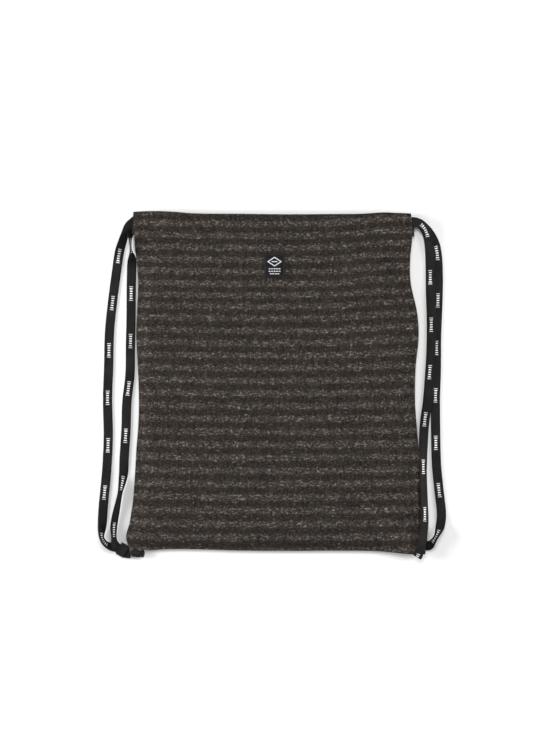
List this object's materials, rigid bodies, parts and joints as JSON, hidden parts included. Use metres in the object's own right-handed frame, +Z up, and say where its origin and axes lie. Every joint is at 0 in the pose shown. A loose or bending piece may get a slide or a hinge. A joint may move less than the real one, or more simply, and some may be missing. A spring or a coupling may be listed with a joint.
{
  "type": "drawstring gym sack backpack",
  "caption": "Soft flat gym sack with a hemmed mouth, closed and carried by two loops of flat tape tied to its bottom corners.",
  "frame": {"origin": "on the surface the sack lies on, under the middle of its cloth", "axes": "+X to the right across the sack, +Y from the bottom seam to the mouth, +Z up out of the front panel"},
  "size_m": [0.4489, 0.4489, 0.016],
  "materials": {
    "knit": "charcoal melange knit with soft cross stripes",
    "tape": "flat woven black tape",
    "label": "fine woven black patch"
  },
  "bodies": {
    "root": {"front_panel": "knit", "back_panel": "knit", "label": "label", "left_drawcord": "tape", "right_drawcord": "tape", "left_knot": "tape", "right_knot": "tape", "left_corner_tab": "tape", "right_corner_tab": "tape"}
  },
  "joints": []
}
